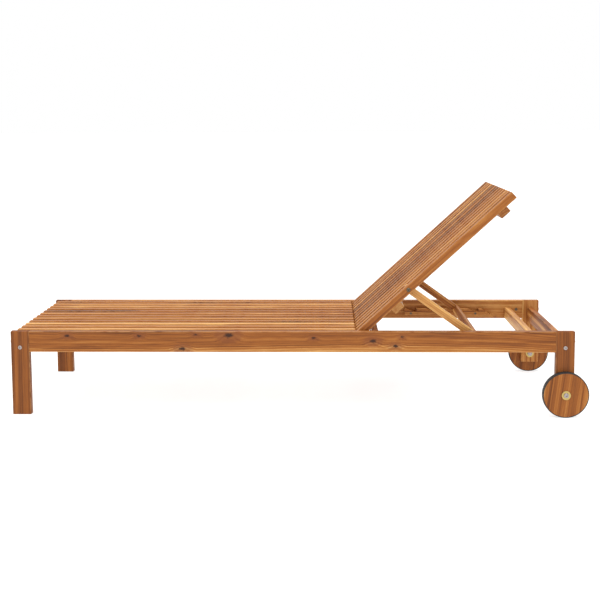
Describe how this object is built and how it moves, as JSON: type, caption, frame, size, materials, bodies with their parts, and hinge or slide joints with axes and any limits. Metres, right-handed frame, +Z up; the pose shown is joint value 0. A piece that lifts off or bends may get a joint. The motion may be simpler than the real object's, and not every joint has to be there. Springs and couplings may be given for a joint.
{
  "type": "reclining sun lounger",
  "caption": "Reclining slatted wooden sun lounger with a backrest held by a prop in notched racks, and wheels at the head end.",
  "frame": {"origin": "on the floor, under the middle of the bounding box", "axes": "+X from the foot end to the head end with the wheels, +Y across from the left rail to the right rail, +Z up"},
  "size_m": [2.0044, 0.6582, 0.7753],
  "materials": {
    "rail_wood": "oiled, open-grained",
    "leg_wood": "oiled, open-grained",
    "seat_slat_wood": "oiled, open-grained",
    "backrest_wood": "oiled, open-grained",
    "batten_wood": "oiled, open-grained",
    "prop_wood": "oiled, open-grained",
    "rack_wood": "oiled, open-grained",
    "wheel_wood": "oiled, open-grained",
    "tyre_rubber": "matt",
    "bright_steel": "zinc plated",
    "yellow_zinc": "yellow passivated zinc",
    "dark_steel": "bronzed"
  },
  "bodies": {
    "frame": {"axle_bolts": "bright_steel", "axle_nuts": "bright_steel", "axle_washers": "yellow_zinc", "backrest_stop_rail": "rail_wood", "barrel_nuts": "dark_steel", "connector_bolts": "bright_steel", "foot_end_rail": "rail_wood", "foot_leg_left": "leg_wood", "foot_leg_right": "leg_wood", "head_cross_rail": "rail_wood", "head_end_rail": "rail_wood", "pivot_pins": "bright_steel", "pivot_washers": "bright_steel", "rack_left": "rack_wood", "rack_right": "rack_wood", "rack_screws": "dark_steel", "seat_cross_rail_hinge": "rail_wood", "seat_cross_rail_middle": "rail_wood", "seat_screws": "dark_steel", "seat_slat_01": "seat_slat_wood", "seat_slat_02": "seat_slat_wood", "seat_slat_03": "seat_slat_wood", "seat_slat_04": "seat_slat_wood", "seat_slat_05": "seat_slat_wood", "seat_slat_06": "seat_slat_wood", "seat_slat_07": "seat_slat_wood", "seat_slat_08": "seat_slat_wood", "seat_slat_09": "seat_slat_wood", "seat_slat_10": "seat_slat_wood", "seat_slat_11": "seat_slat_wood", "seat_slat_12": "seat_slat_wood", "side_rail_left": "rail_wood", "side_rail_right": "rail_wood", "wheel_leg_left": "leg_wood", "wheel_leg_right": "leg_wood"},
    "backrest": {"backrest_batten_lower": "batten_wood", "backrest_batten_upper": "batten_wood", "backrest_screws": "dark_steel", "backrest_slat_01": "backrest_wood", "backrest_slat_02": "backrest_wood", "backrest_slat_03": "backrest_wood", "backrest_slat_04": "backrest_wood", "backrest_slat_05": "backrest_wood", "backrest_slat_06": "backrest_wood", "backrest_slat_07": "backrest_wood", "backrest_slat_08": "backrest_wood", "backrest_slat_09": "backrest_wood", "backrest_slat_10": "backrest_wood", "backrest_slat_11": "backrest_wood", "backrest_stile_left": "backrest_wood", "backrest_stile_right": "backrest_wood", "prop_pivot_bolts": "dark_steel"},
    "prop": {"prop_arm_left": "prop_wood", "prop_arm_right": "prop_wood", "prop_bar": "prop_wood", "prop_screws": "dark_steel"},
    "wheel_left": {"wheel_disc_left": "wheel_wood", "wheel_tyre_left": "tyre_rubber"},
    "wheel_right": {"wheel_disc_right": "wheel_wood", "wheel_tyre_right": "tyre_rubber"}
  },
  "joints": [
    {"name": "backrest_recline", "type": "hinge", "parent": "frame", "child": "backrest", "pos_m": [0.21775, 0, 0.2825], "axis": [0, -1, 0], "range_deg": [-42.5, 29]},
    {"name": "prop_swing", "type": "hinge", "parent": "backrest", "child": "prop", "pos_m": [0.38659, 0, 0.43721], "axis": [0, -1, 0], "range_deg": [-50, 73]},
    {"name": "wheel_left_spin", "type": "hinge", "parent": "frame", "child": "wheel_left", "pos_m": [0.92325, -0.3123, 0.079], "axis": [0, 1, 0], "continuous": true},
    {"name": "wheel_right_spin", "type": "hinge", "parent": "frame", "child": "wheel_right", "pos_m": [0.92325, 0.3123, 0.079], "axis": [0, 1, 0], "continuous": true}
  ],
  "couplings": [
    {"joint": "prop_swing", "follows": "backrest_recline", "ratio": -1.7}
  ]
}
